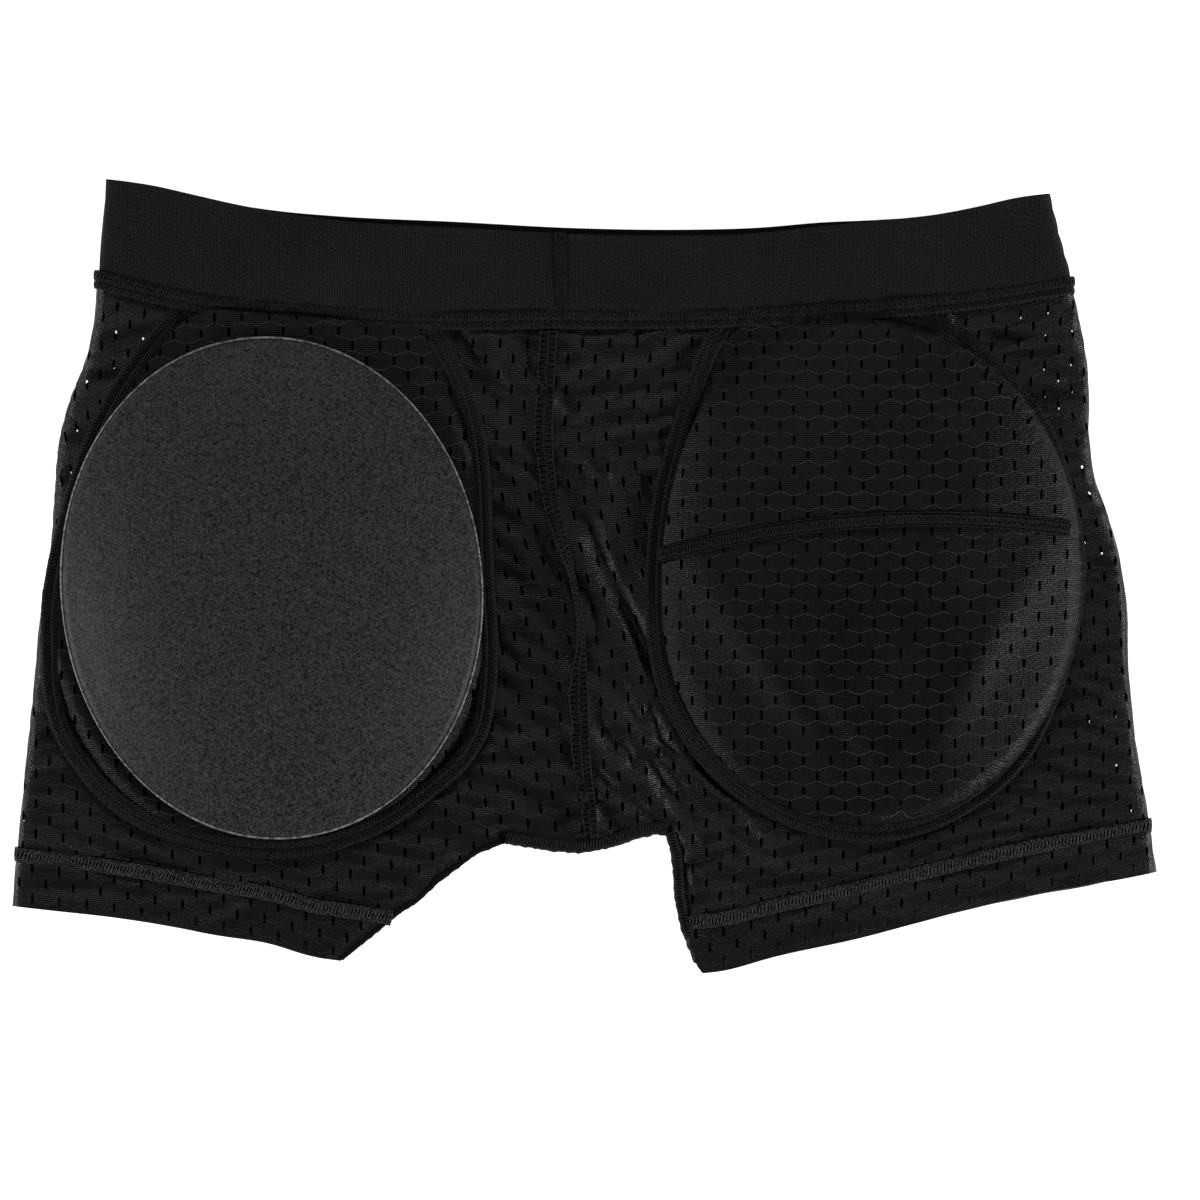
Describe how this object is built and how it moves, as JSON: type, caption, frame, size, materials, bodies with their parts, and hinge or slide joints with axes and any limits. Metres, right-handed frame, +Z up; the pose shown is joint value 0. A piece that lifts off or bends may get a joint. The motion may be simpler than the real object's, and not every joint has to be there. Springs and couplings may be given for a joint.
{
  "type": "padded impact shorts",
  "caption": "Stretch mesh shorts with an elastic waistband, laid flat and inside out, with oval foam seat pads, one in its inner pocket and one loose on top.",
  "frame": {"origin": "on the surface that the shorts lie on, under the middle of their bounding box", "axes": "+Z up from that surface, +Y towards the waistband, +X towards the right of the layout as seen from above"},
  "size_m": [0.4374, 0.3011, 0.0325],
  "materials": {
    "mesh_knit": "matt warp-knit stretch mesh with slit holes",
    "pocket_knit": "matt lighter stretch mesh",
    "elastic": "matt fine-ribbed woven elastic",
    "seam_thread": "overlocked textured thread",
    "hem_thread": "cover-stitched looper thread",
    "laminate": "smooth charcoal knit laminated on foam, slight sheen",
    "foam": "closed-cell moulded foam, hidden by its covers",
    "fused_edge": "cut and heat-fused edge, paler than the cover"
  },
  "bodies": {
    "shorts": {"waistband": "elastic", "waistband_join": "seam_thread", "waist_seam": "seam_thread", "centre_back_seam": "seam_thread", "centre_front_seam": "seam_thread", "crotch_seam": "seam_thread", "left_inseam": "seam_thread", "right_inseam": "seam_thread", "left_panel": "mesh_knit", "right_panel": "mesh_knit", "gusset": "mesh_knit", "left_hem": "mesh_knit", "right_hem": "mesh_knit", "left_hem_stitching": "hem_thread", "right_hem_stitching": "hem_thread", "left_pocket_lower": "pocket_knit", "left_pocket_upper": "pocket_knit", "left_pocket_seam": "hem_thread", "left_pocket_mouth_stitching": "hem_thread", "right_pocket_lower": "pocket_knit", "right_pocket_upper": "pocket_knit", "right_pocket_seam": "hem_thread", "right_pocket_mouth_stitching": "hem_thread"},
    "left_pad": {"left_pad_face_cover": "laminate", "left_pad_back_cover": "laminate", "left_pad_foam": "foam", "left_pad_rim": "fused_edge"},
    "right_pad": {"right_pad_face_cover": "laminate", "right_pad_back_cover": "laminate", "right_pad_foam": "foam", "right_pad_rim": "fused_edge"}
  },
  "joints": [
    {"name": "left_pad_lift", "type": "slide", "parent": "shorts", "child": "left_pad", "axis": [0, 0, 1], "range_m": [0, 0.12]},
    {"name": "right_pad_lift", "type": "slide", "parent": "shorts", "child": "right_pad", "axis": [0, 0, 1], "range_m": [0, 0.12], "deforming": ["right_pocket_lower", "right_pocket_upper", "right_pocket_mouth_stitching"]}
  ]
}
